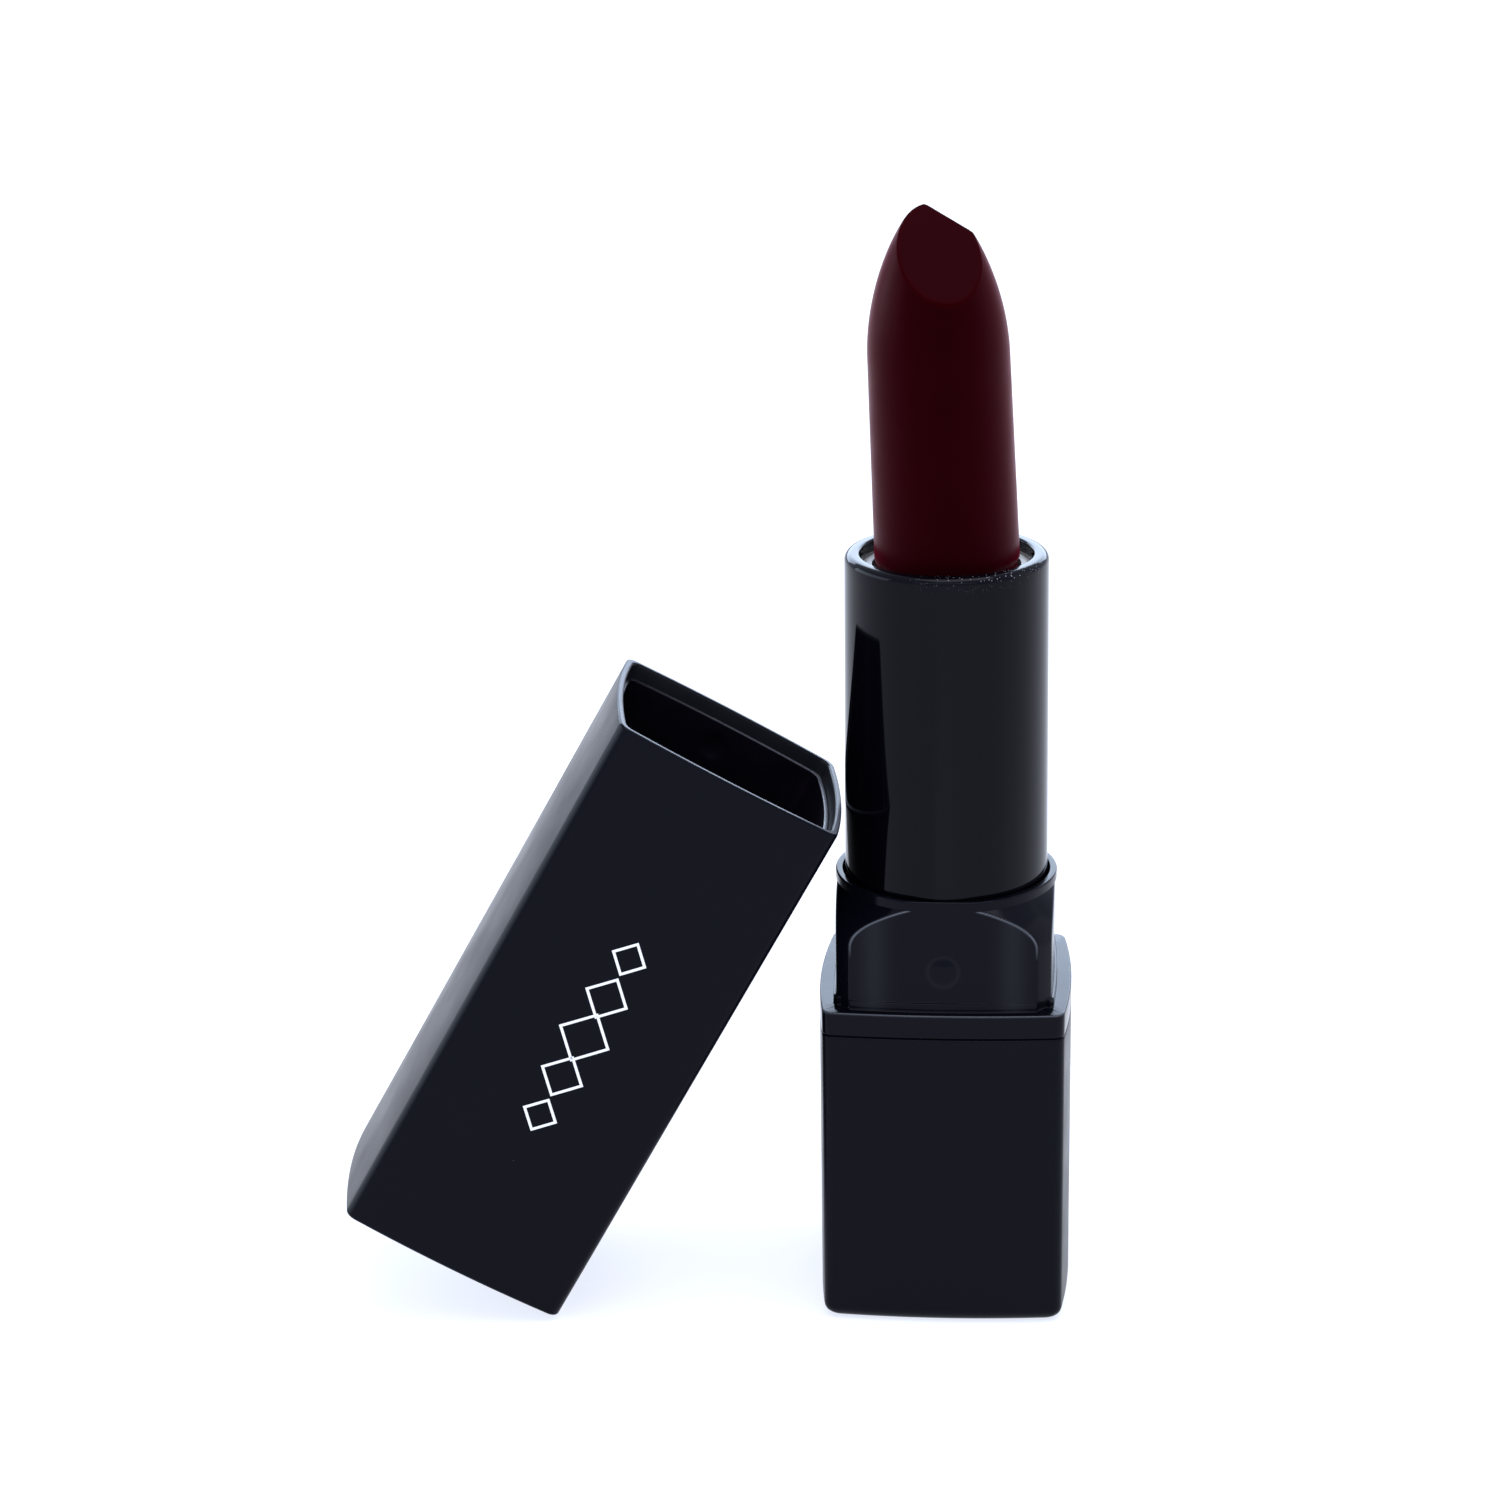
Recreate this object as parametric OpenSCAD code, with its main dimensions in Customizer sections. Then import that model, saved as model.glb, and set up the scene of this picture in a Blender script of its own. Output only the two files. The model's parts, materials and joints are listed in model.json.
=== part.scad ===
// Square lipstick case: a bowed square base with a square collar, a round sleeve that winds a
// bullet up and down, and a separate cap that leans on the sleeve. Millimetres, +Z up.
// The origin is on the case's axis, on the surface that the case stands on.

/* [Case] */
// Width of the case and the cap, from upright edge to upright edge
case_w = 20.2; // [20:0.1:21]
// Depth of the case and the cap, from upright edge to upright edge
case_d = 19.1; // [19:0.1:20]
// Outward bow of the left and right faces
side_bow = 0.65; // [0.5:0.05:0.8]
// Outward bow of the front and back faces
front_bow = 0.55; // [0.5:0.05:0.7]
// Radius of the four upright edges
corner_r = 1.0; // [0.9:0.1:1.3]
// Height of the base shell
base_h = 26.2; // [26:0.1:27]
// Wall of the base shell
base_wall = 1.3; // [1.1:0.1:1.5]
// Height of the collar's flange, which the cap closes on
flange_h = 2.15; // [1.8:0.05:2.5]

/* [Collar] */
// Height of the neck above the flange
neck_h = 9.75; // [9.5:0.05:10.5]
// Outer radius of the round ring at the neck's rim
ring_r = 9.4; // [9.3:0.05:9.45]
// Height of the round ring's plain band
ring_h = 0.8; // [0.6:0.1:1.2]
// Radius of the bore that the sleeve turns in
collar_bore_r = 8.8; // [8.75:0.01:8.82]
// Diameter of each snap bump that holds the cap
bump_d = 2.6; // [2.2:0.1:3]

/* [Mechanism] */
// Height of the sleeve's rim above the surface
sleeve_top = 65.8; // [65:0.1:66]
// Outer radius of the sleeve at its rim
sleeve_r = 8.5; // [8.45:0.01:8.55]
// Outer radius of the sleeve inside the collar
sleeve_foot_r = 8.6; // [8.58:0.01:8.62]
// Radius of the sleeve's mouth
mouth_r = 7.2; // [7.15:0.05:7.4]
// Distance that the bullet travels
travel = 30.6; // [28:0.1:31]
// Turns of the sleeve over the whole travel
turns = 1.5; // [1.5:0.25:1.75]
// Diameter of the cup's two lugs
lug_d = 1.6; // [1.4:0.1:1.7]

/* [Bullet] */
// Radius of the bullet at its shoulder
bullet_r = 5.84; // [5.8:0.01:5.95]
// Height of the shoulder, where the rounded nose starts
shoulder_z = 82.4; // [81:0.1:83]
// Height that the uncut nose would reach
nose_z = 95.9; // [94:0.1:97]
// Slant of the cut face, from level
cut_tilt = 46.4; // [44:0.1:48]
// Slant of the small cut behind the tip, from level
back_tilt = 55; // [50:0.5:60]
// Lean of the bullet in its cup
bullet_lean = 2.4; // [0:0.1:2.4]

/* [Cap] */
// Length of the cap
cap_l = 50.1; // [49:0.1:52]
// Wall of the cap's outer shell
cap_wall = 0.6; // [0.5:0.05:0.62]
// Wall of the cap's inner liner
liner_wall = 0.4; // [0.35:0.05:0.42]
// Distance from the cap's rim to the liner's edge
liner_step = 1.3; // [1:0.1:1.6]
// Lean of the cap towards the sleeve
cap_lean = 29.4; // [29.2:0.05:31]

/* [Hidden] */
$fn = 180;
BIG_FN = 720;   // for the large circles that bow the faces
CORD_FN = 48;   // for the section of the drag ring
TWIST_FN = 8;   // for the twisted slots, whose smoothness comes from their slices
BOOL = 0.5;     // overshoot of a cut past the face it opens
SLIDE = 0.05;   // running clearance between parts that turn or slide on each other
SEAT = 0.02;    // gap left between seated parts that do not move
MERGE = 0.1;    // how far a joined feature stays short of the far side of its wall
BLEND = 0.01;   // how far a corner's circle stands proud, so that it crosses the faces it joins

shell_black = [0.085, 0.09, 0.115];
gloss_black = [0.05, 0.05, 0.065];
moulded_grey = [0.75, 0.75, 0.76];
steel_grey = [0.55, 0.56, 0.58];
wax_maroon = [0.19, 0.02, 0.06];

flange_top = base_h + flange_h;
neck_top = flange_top + neck_h;
min_corner_r = 0.9;
kite_reach = 1.2;
base_floor = 2.0;
label_r = 7;
label_t = 0.1;
weight_r = 7.6;
weight_h = 3.5;
insert_wall = 1;
socket_wall = 1.2;
web_l = 21.6;
web_drop = 2;

// Neck of the collar: its faces are bowed like the case's
neck_w = 18.0;
neck_d = 17.0;
neck_side_bow = 0.25;
neck_front_bow = 0.52;
neck_corner_r = 0.8;
neck_face_y = neck_d / 2 + neck_front_bow;
bump_h = 0.25;
bump_drop = 3.5;
rib_h = 0.8;
rib_out = 0.25;
rib_end = 7.8;
tab_h = 4;
tab_gap = 8;
neck_cut_r = 11.65;

// Mechanism, from the outside in
sleeve_in_r = 7.97;
sleeve_foot = 20.4;
lip_h = 1.0;
rim_edge_r = 0.6;
mouth_edge_r = 0.25;
spiral_r = sleeve_in_r - SEAT;
tube_r = 7.1;
tube_in_r = 6.75;
tube_drop = 0.2;
tube_top = sleeve_top - lip_h - tube_drop;
tube_floor = 23.5;
tube_floor_t = 1;
stop_z = 18.5;
stop_h = sleeve_foot - stop_z - 2 * SLIDE;
stop_r = 8.5;
plug_r = 6.9;
plug_bore_r = 5;
weight_gap = 1.2;
plug_z = base_floor + weight_h + weight_gap;
bead_z = 23.7;
bead_h = 0.5;
bead_out = 0.2;
drag_z = 22;
drag_cord_r = 0.5;
drag_ring_r = tube_r + SLIDE - SEAT - drag_cord_r;
groove_clear = 0.2;
slot_w = lug_d + 2 * groove_clear;
cup_clear = 0.07;
cup_r = tube_in_r - cup_clear;
cup_in_r = 6.2;
cup_z = 55.9;
cup_floor_t = 1;
cup_drop = 1.0;
cup_top = sleeve_top - cup_drop;
cup_ribs = 6;
cup_rib_w = 0.5;
cup_rib_in_r = 5.95;
cup_rib_drop = 1.5;
lug_lift = 1.3;
lug_z = cup_z + lug_lift;
lug_reach = 7.75;
lead = travel / turns;
end_clear = 0.4;
slices_per_lead = 40;

// Bullet
bullet_taper = 0.0115;
shoulder_lift = 0.4;
bullet_foot_r = 5.75;
bullet_foot_gap = 0.25;
bullet_foot_z = cup_z + cup_floor_t + bullet_foot_gap;
body_lift = 0.1;
lean_z = 66.5;
nose_power = 1.87;
nose_root = 1.38;
nose_steps = 22;
cut_turn = -77.7;
cut_point = [-0.9, 0, 93];
back_turn = 52;
back_point = [0, 0, 94.6];
cut_block = 30;

// Cap
cap_end_t = 1.2;
liner_end_t = 0.8;
cap_turn = 4.2;
cap_foot = [-33.35, -1.75, 0];
snap_clear = 0.06;
cap_edge_x = case_w / 2 + side_bow;

// Radius of the circle whose arc spans a chord and rises by a bow
function arc_r(chord, bow) = (chord * chord / 4 + bow * bow) / (2 * bow);

// Where two circles meet, at the point nearer to the origin
function circles_meet(a, ra, b, rb) =
    let (between = b - a, gap = norm(between), u = between / gap,
         along = (ra * ra - rb * rb + gap * gap) / (2 * gap),
         off = sqrt(ra * ra - along * along),
         side = [-u.y, u.x],
         p = a + u * along + side * off,
         q = a + u * along - side * off)
    norm(p) < norm(q) ? p : q;

// Points along an arc, for the rounded edge of a turned outline
function arc_points(centre, r, from, to, steps = 6) =
    [for (i = [0:steps])
        let (angle = from + (to - from) * i / steps)
        centre + r * [cos(angle), sin(angle)]];

// Space between two faces that bow outwards, towards +Y and -Y
module bowed_pair(w, d, bow) {
    r = arc_r(w, bow);
    intersection_for (side = [1, -1])
        translate([0, side * (d / 2 + bow - r)]) circle(r, $fn = BIG_FN);
}

// Four bowed sides with rounded corners. Each corner is trimmed to a kite and filled with a circle
module bowed_plan(w, d, side, front, r) {
    side_r = arc_r(d, side);
    front_r = arc_r(w, front);
    side_c = [w / 2 + side - side_r, 0];
    front_c = [0, d / 2 + front - front_r];
    corner = circles_meet(side_c, side_r - r, front_c, front_r - r);
    side_touch = side_c + (corner - side_c) * side_r / (side_r - r);
    front_touch = front_c + (corner - front_c) * front_r / (front_r - r);
    tip = corner + (side_touch + front_touch - 2 * corner) * kite_reach;
    difference() {
        intersection() {
            bowed_pair(w, d, front);
            rotate(90) bowed_pair(d, w, side);
        }
        for (sx = [1, -1], sy = [1, -1])
            polygon([for (p = [corner, side_touch, tip, front_touch]) [sx * p.x, sy * p.y]]);
    }
    for (sx = [1, -1], sy = [1, -1])
        translate([sx * corner.x, sy * corner.y]) circle(r + BLEND);
}

// The case's plan, drawn in by the same distance on every side
module case_plan(inset = 0) {
    bowed_plan(case_w - 2 * inset, case_d - 2 * inset, side_bow, front_bow, max(corner_r - inset, min_corner_r));
}

module neck_plan(outset = 0) {
    bowed_plan(neck_w + 2 * outset, neck_d + 2 * outset, neck_side_bow, neck_front_bow, neck_corner_r);
}

module case_slab(z, h, inset = 0) {
    translate([0, 0, z]) linear_extrude(h) case_plan(inset);
}

module disc(z, h, r) {
    translate([0, 0, z]) cylinder(h = h, r = r);
}

module bar(z, w, d, h) {
    translate([-w / 2, -d / 2, z]) cube([w, d, h]);
}

module base_shell() {
    color(shell_black) difference() {
        case_slab(0, base_h);
        case_slab(base_floor, base_h, base_wall);
        disc(-BOOL, BOOL + label_t, label_r);
    }
}

// Inner block that centres the mechanism: a floor, a frame, a socket and two webs
module base_insert() {
    floor_z = base_floor + weight_h;
    height = stop_z - floor_z;
    color(moulded_grey) difference() {
        union() {
            difference() {
                case_slab(floor_z, height, base_wall + SEAT);
                case_slab(floor_z + insert_wall, height, base_wall + SEAT + insert_wall);
            }
            disc(floor_z, height, plug_r + socket_wall);
            for (turn = [45, 135]) rotate(turn) bar(floor_z, web_l, insert_wall, height - web_drop);
        }
        disc(plug_z, height, plug_r + SEAT);
    }
}

module base_weight() {
    color(steel_grey) disc(base_floor, weight_h, weight_r);
}

module shade_label() {
    color("white") disc(0, label_t, label_r - SEAT);
}

// Flange, square neck, round ring and four corner tabs in one moulding
module collar() {
    neck_band_z = neck_top - ring_h;
    color(gloss_black) difference() {
        union() {
            case_slab(base_h, flange_h);
            corner_tabs();
            intersection() {
                translate([0, 0, flange_top]) linear_extrude(neck_h) neck_plan();
                under_ring(flange_top, neck_band_z);
            }
            intersection() {
                translate([0, 0, flange_top]) linear_extrude(rib_h) neck_plan(rib_out);
                union() {
                    bar(flange_top, 2 * rib_end, 2 * case_d, rib_h);
                    bar(flange_top, 2 * case_w, 2 * rib_end, rib_h);
                }
            }
            intersection() {
                disc(neck_band_z, ring_h, ring_r);
                translate([0, 0, neck_band_z]) linear_extrude(ring_h)
                    bowed_pair(neck_w, neck_d, neck_front_bow);
            }
            for (turn = [0, 180]) rotate(turn) snap_ball(flange_top + bump_drop, 0);
        }
        disc(base_h - tab_h - BOOL, neck_h + flange_h + tab_h + 2 * BOOL, collar_bore_r);
    }
}

module corner_tabs() {
    z = base_h - tab_h;
    difference() {
        case_slab(z, tab_h, base_wall + SEAT);
        bar(z - BOOL, tab_gap, 2 * case_d, tab_h + BOOL);
        bar(z - BOOL, 2 * case_w, tab_gap, tab_h + BOOL);
    }
}

// Round body that trims the neck's corners: a cone drops from the ring at 45 degrees to a cylinder
module under_ring(bottom, top) {
    rotate_extrude() polygon([
        [0, bottom],
        [neck_cut_r, bottom],
        [neck_cut_r, top - (neck_cut_r - ring_r)],
        [ring_r, top],
        [0, top]
    ]);
}

// Ball whose shallow cap stands out of the neck's front face, or the recess that takes it
module snap_ball(z, clear) {
    ball_r = (bump_d * bump_d / 4 + bump_h * bump_h) / (2 * bump_h);
    translate([0, ball_r - bump_h - neck_face_y, z]) sphere(ball_r + clear);
}

// Guide tube, fixed in the base. The cup's lugs run in its two upright slots
module inner_body() {
    lug_low = lug_z - travel - lug_d / 2 - end_clear;
    lug_high = lug_z + lug_d / 2 + end_clear;
    color(moulded_grey) difference() {
        union() {
            disc(plug_z, stop_z - plug_z, plug_r);
            disc(stop_z, stop_h, stop_r);
            disc(stop_z, tube_top - stop_z, tube_r);
            disc(bead_z, bead_h, tube_r + bead_out);
        }
        disc(tube_floor + tube_floor_t, tube_top, tube_in_r);
        disc(plug_z - BOOL, tube_floor - plug_z + BOOL, plug_bore_r);
        bar(lug_low, 3 * tube_r, slot_w, lug_high - lug_low);
        difference() {
            disc(drag_z - drag_cord_r - SLIDE, 2 * (drag_cord_r + SLIDE), tube_r + BOOL);
            disc(drag_z - 2 * drag_cord_r, 4 * drag_cord_r, drag_ring_r - drag_cord_r - SEAT / 2);
        }
    }
}

module drag_ring() {
    color("black") translate([0, 0, drag_z]) rotate_extrude()
        translate([drag_ring_r, 0]) circle(drag_cord_r, $fn = CORD_FN);
}

// Cam tube, seated in the sleeve, with two helical slots for the cup's lugs
module spiral() {
    color(moulded_grey) difference() {
        disc(sleeve_foot, sleeve_top - lip_h - SEAT - sleeve_foot, spiral_r);
        disc(sleeve_foot - BOOL, sleeve_top, tube_r + SLIDE);
        disc(bead_z - 2 * SLIDE, bead_h + 4 * SLIDE, tube_r + bead_out + 2 * SLIDE);
        for (start = [0, 180]) rotate(start) helical_slot();
    }
}

module helical_slot() {
    slope = atan(lead / (2 * PI * spiral_r));
    half_w = (lug_d / 2 + groove_clear) / sin(slope);
    low = lug_z - travel - lug_d / 2 - end_clear;
    h = travel + lug_d + 2 * end_clear;
    slices = ceil(h * slices_per_lead / lead);
    translate([0, 0, low]) rotate((low - lug_z) * 360 / lead)
        linear_extrude(h, twist = -360 * h / lead, slices = slices, $fn = TWIST_FN)
            translate([tube_r - BOOL, -half_w]) square([spiral_r - tube_r + 2 * BOOL, 2 * half_w]);
}

// Outer tube that the fingers turn, with an in-turned lip and a slight draft
module sleeve() {
    in_edge = [mouth_r + mouth_edge_r, sleeve_top - mouth_edge_r];
    out_edge = [sleeve_r - rim_edge_r, sleeve_top - rim_edge_r];
    color(gloss_black) rotate_extrude() polygon(concat(
        [
            [sleeve_in_r, sleeve_foot],
            [sleeve_foot_r, sleeve_foot],
            [sleeve_foot_r, neck_top]
        ],
        arc_points(out_edge, rim_edge_r, 0, 90),
        arc_points(in_edge, mouth_edge_r, 90, 180),
        [
            [mouth_r, sleeve_top - lip_h],
            [sleeve_in_r, sleeve_top - lip_h]
        ]
    ));
}

// Holder of the bullet, with gripping ribs inside and two lugs outside
module cup() {
    rib_l = cup_top - cup_rib_drop - cup_z - cup_floor_t / 2;
    color(moulded_grey) {
        difference() {
            disc(cup_z, cup_top - cup_z, cup_r);
            disc(cup_z + cup_floor_t, cup_top, cup_in_r);
        }
        for (i = [0:cup_ribs - 1])
            rotate((i + 0.5) * 360 / cup_ribs)
                translate([cup_rib_in_r, -cup_rib_w / 2, cup_z + cup_floor_t / 2])
                    cube([cup_r - cup_rib_in_r - MERGE, cup_rib_w, rib_l]);
        for (turn = [0, 180])
            rotate(turn) translate([cup_in_r + MERGE, 0, lug_z]) rotate([0, 90, 0])
                cylinder(h = lug_reach - cup_in_r - MERGE, d = lug_d);
    }
}

// Tapered stick with a rounded nose, cut off at a slant and trimmed behind the tip
module bullet() {
    nose_h = nose_z - shoulder_z;
    body_z = cup_top + body_lift;
    color(wax_maroon) difference() {
        translate([0, 0, lean_z]) rotate([0, -bullet_lean, 0]) translate([0, 0, -lean_z])
            rotate_extrude() polygon(concat(
                [
                    [0, bullet_foot_z],
                    [bullet_foot_r, bullet_foot_z],
                    [bullet_foot_r, body_z],
                    [bullet_r + (shoulder_z - body_z) * bullet_taper, body_z + shoulder_lift]
                ],
                [for (i = [0:nose_steps])
                    let (t = sin(90 * i / nose_steps))
                    [bullet_r * pow(1 - pow(t, nose_power), 1 / nose_root), shoulder_z + nose_h * t]]
            ));
        slant(cut_point, cut_tilt, cut_turn);
        slant(back_point, back_tilt, back_turn);
    }
}

// Block whose underside is a slanted cut through a point
module slant(point, tilt, turn) {
    translate(point) rotate([0, tilt, turn]) bar(0, cut_block, cut_block, cut_block);
}

// Puts a cap that stands at the origin on its lower right edge, leaning towards the sleeve
module cap_place() {
    translate(cap_foot) rotate([0, cap_lean, cap_turn]) translate([-cap_edge_x, 0, 0]) children();
}

module cap_shell() {
    color(shell_black) cap_place() difference() {
        case_slab(0, cap_l);
        case_slab(cap_end_t, cap_l, cap_wall);
    }
}

// Inner cap that grips the neck, set back from the rim, with two snap recesses
module cap_liner() {
    color(gloss_black) cap_place() difference() {
        case_slab(cap_end_t, cap_l - cap_end_t - liner_step, cap_wall + SEAT);
        case_slab(cap_end_t + liner_end_t, cap_l, cap_wall + SEAT + liner_wall);
        for (turn = [0, 180]) rotate(turn) snap_ball(cap_l - bump_drop, snap_clear);
    }
}

base_shell();
base_insert();
base_weight();
shade_label();
collar();
inner_body();
drag_ring();
spiral();
sleeve();
cup();
bullet();
cap_shell();
cap_liner();
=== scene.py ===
import json
import math

import bpy
import numpy as np
from mathutils import Matrix, Vector


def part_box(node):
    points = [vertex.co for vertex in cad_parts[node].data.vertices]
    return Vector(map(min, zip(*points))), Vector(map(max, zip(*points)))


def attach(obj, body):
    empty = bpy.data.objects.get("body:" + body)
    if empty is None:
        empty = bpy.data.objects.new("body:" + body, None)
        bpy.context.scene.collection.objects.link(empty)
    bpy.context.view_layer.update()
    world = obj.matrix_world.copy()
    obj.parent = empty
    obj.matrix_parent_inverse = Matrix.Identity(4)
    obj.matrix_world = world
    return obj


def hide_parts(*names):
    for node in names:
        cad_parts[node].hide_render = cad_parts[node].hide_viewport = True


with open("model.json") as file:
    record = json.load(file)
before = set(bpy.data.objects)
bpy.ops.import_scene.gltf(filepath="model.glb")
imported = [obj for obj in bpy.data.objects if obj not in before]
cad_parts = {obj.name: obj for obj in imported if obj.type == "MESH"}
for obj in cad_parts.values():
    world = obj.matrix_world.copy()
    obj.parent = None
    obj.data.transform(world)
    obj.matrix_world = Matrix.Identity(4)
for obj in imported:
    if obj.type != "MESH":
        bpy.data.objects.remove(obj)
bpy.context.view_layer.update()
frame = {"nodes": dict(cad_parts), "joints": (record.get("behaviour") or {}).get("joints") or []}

MM = 0.001

# Plan of the case and the cap: four bowed faces between rounded upright edges
SIDE_BOW = 0.65 * MM
FRONT_BOW = 0.55 * MM
CORNER_R = 1.0 * MM
MIN_CORNER_R = 0.9 * MM
FACE_STEPS = 34
CORNER_STEPS = 9
EDGE_STEPS = 6

# Collar
NECK_W = 18.0 * MM
NECK_D = 17.0 * MM
NECK_SIDE_BOW = 0.25 * MM
NECK_FRONT_BOW = 0.52 * MM
NECK_CORNER_R = 0.8 * MM
NECK_CUT_R = 11.65 * MM
RING_R = 9.4 * MM
RING_H = 0.8 * MM
COLLAR_BORE_R = 8.8 * MM
FLANGE_H = 2.15 * MM
RIB_H = 0.8 * MM
RIB_OUT = 0.25 * MM
RIB_END = 7.8 * MM
BUMP_R = 1.3 * MM
BUMP_H = 0.25 * MM
BUMP_DROP = 3.5 * MM

# How far the masks lighten the colour with painted highlights: on the collar's arches, the ring round its bump, two
# soft bands on its neck and the edge of its flange, and on the cap's rim
ARCH_SHINE = 0.42
HALO_SHINE = 0.013
BAND_SHINE = 0.028
FLANGE_SHINE = 0.5
RIM_SHINE = 0.6

# Shells of the base and the cap, the label's recess, and the inner cap, which sits SEAT off the cap's wall
BASE_WALL = 1.3 * MM
BASE_FLOOR = 2.0 * MM
LABEL_R = 7.0 * MM
LABEL_T = 0.1 * MM
CAP_WALL = 0.6 * MM
CAP_END_T = 1.2 * MM
LINER_WALL = 0.4 * MM
LINER_STEP = 1.3 * MM
LINER_END_T = 0.8 * MM
CAP_L = 50.1 * MM
END_INSET = 3 * MM
SEAT = 0.02 * MM

# Sleeve
SLEEVE_R = 8.5 * MM
SLEEVE_IN_R = 7.97 * MM
MOUTH_R = 7.2 * MM
LIP_H = 1.0 * MM
RIM_EDGE_R = 0.6 * MM
MOUTH_EDGE_R = 0.25 * MM

# Bullet: a tapered stick that leans, with a rounded nose and two slanted cuts, each given by its slant
# and turn in degrees and a point in millimetres
BULLET_R = 5.84 * MM
BULLET_TAPER = 0.0115
BULLET_FOOT_R = 5.75 * MM
BODY_Z = 64.9 * MM
SHOULDER_Z = 82.4 * MM
NOSE_Z = 95.9 * MM
NOSE_POWER = 1.87
NOSE_ROOT = 1.38
BULLET_LEAN = math.radians(2.4)
LEAN_Z = 66.5 * MM
CUTS = ((46.4, -77.7, (-0.9, 0, 93)), (55, 52, (0, 0, 94.6)))

base_low, base_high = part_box("base_shell")
sleeve_low, sleeve_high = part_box("sleeve")
CASE_W = base_high.x - base_low.x - 2 * SIDE_BOW
CASE_D = base_high.y - base_low.y - 2 * FRONT_BOW
FLANGE_TOP = base_high.z + FLANGE_H
NECK_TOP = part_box("collar")[1].z


# ---------------------------------------------------------------- outlines

def arc_radius(chord, bow):
    """Radius of the circle whose arc spans a chord and rises by a bow."""
    return (chord * chord / 4 + bow * bow) / (2 * bow)


def arc(centre, radius, start, end, steps):
    """Points along an arc, its two ends included."""
    angles = np.linspace(start, end, steps + 1)
    return np.column_stack((centre[0] + radius * np.cos(angles), centre[1] + radius * np.sin(angles)))


def bowed_outline(width, depth, side_bow, front_bow, radius, face_steps=FACE_STEPS):
    """Points round four bowed sides with rounded corners, anticlockwise from +X."""
    side_r = arc_radius(depth, side_bow)
    front_r = arc_radius(width, front_bow)
    side_c = np.array((width / 2 + side_bow - side_r, 0.0))
    front_c = np.array((0.0, depth / 2 + front_bow - front_r))
    between = front_c - side_c
    gap = np.linalg.norm(between)
    along = ((side_r - radius) ** 2 - (front_r - radius) ** 2 + gap * gap) / (2 * gap)
    off = math.sqrt((side_r - radius) ** 2 - along ** 2)
    unit = between / gap
    across = np.array((unit[1], -unit[0])) * off
    corner = min(side_c + unit * along + across, side_c + unit * along - across, key=np.linalg.norm)
    start = math.atan2(*(corner - side_c)[::-1])
    end = math.atan2(*(corner - front_c)[::-1])
    quarter = np.vstack((
        arc(side_c, side_r, 0, start, face_steps)[:-1],
        arc(corner, radius, start, end, CORNER_STEPS)[:-1],
        arc(front_c, front_r, end, math.pi / 2, face_steps),
    ))
    half = np.vstack((quarter, quarter[-2::-1] * (-1, 1)))
    return np.vstack((half, half[-2:0:-1] * (1, -1)))


def case_ring(inset, z):
    """The case's outline at a height, drawn in by a distance."""
    radius = max(CORNER_R - inset, MIN_CORNER_R)
    xy = bowed_outline(CASE_W - 2 * inset, CASE_D - 2 * inset, SIDE_BOW, FRONT_BOW, radius)
    return np.column_stack((xy, np.full(len(xy), z)))


def round_ring(radius, z):
    """A circle with as many points as the case's outline, at the same angles."""
    outline = case_ring(0, z)
    spread = np.hypot(outline[:, 0], outline[:, 1])
    outline[:, :2] *= (radius / spread)[:, None]
    return outline


def rounded_edge(radius, edge_z, rises, steps=EDGE_STEPS):
    """(inset, z) pairs of a rounded edge, from the flat end face to the wall."""
    angles = np.linspace(0, math.pi / 2, steps + 1)
    sign = 1 if rises else -1
    return [(radius * (1 - math.sin(a)), edge_z + sign * radius * (1 - math.cos(a))) for a in angles]


# ---------------------------------------------------------------- meshes

def ring_mesh(rings, close=True):
    """Points and faces of a skin through rings of equal length, closed at both ends by a centre point."""
    rings = np.asarray(rings)
    count, size = rings.shape[:2]
    points = rings.reshape(-1, 3)
    faces = []
    for i in range(count - 1):
        for j in range(size):
            k = (j + 1) % size
            faces.append((i * size + j, i * size + k, (i + 1) * size + k, (i + 1) * size + j))
    if close:
        first, last = len(points), len(points) + 1
        points = np.vstack((points, rings[0].mean(0), rings[-1].mean(0)))
        base = (count - 1) * size
        for j in range(size):
            k = (j + 1) % size
            faces.append((first, k, j))
            faces.append((last, base + j, base + k))
    else:
        base = (count - 1) * size
        for j in range(size):
            k = (j + 1) % size
            faces.append((base + j, base + k, k, j))
    return points, faces


def mark(obj, name, values):
    """Stores a mask on a mesh's points, for its material to read."""
    data = obj.data.attributes.new(name, "FLOAT", "POINT").data
    data.foreach_set("value", np.asarray(values, dtype=np.float32))


def piece(name, points, faces, material, body, stands_for=(), place=Matrix.Identity(4)):
    """Makes a smooth-shaded mesh piece that rides on a body."""
    mesh = bpy.data.meshes.new(name)
    mesh.from_pydata([tuple(p) for p in points], [], faces)
    mesh.transform(place)
    mesh.validate()
    mesh.polygons.foreach_set("use_smooth", [True] * len(mesh.polygons))
    mesh.materials.append(material)
    obj = bpy.data.objects.new(name, mesh)
    bpy.context.scene.collection.objects.link(obj)
    weighted = obj.modifiers.new("even_normals", "WEIGHTED_NORMAL")
    weighted.weight = 100
    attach(obj, body)
    if stands_for:
        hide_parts(*stands_for)
    return obj


# ---------------------------------------------------------------- materials

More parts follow.
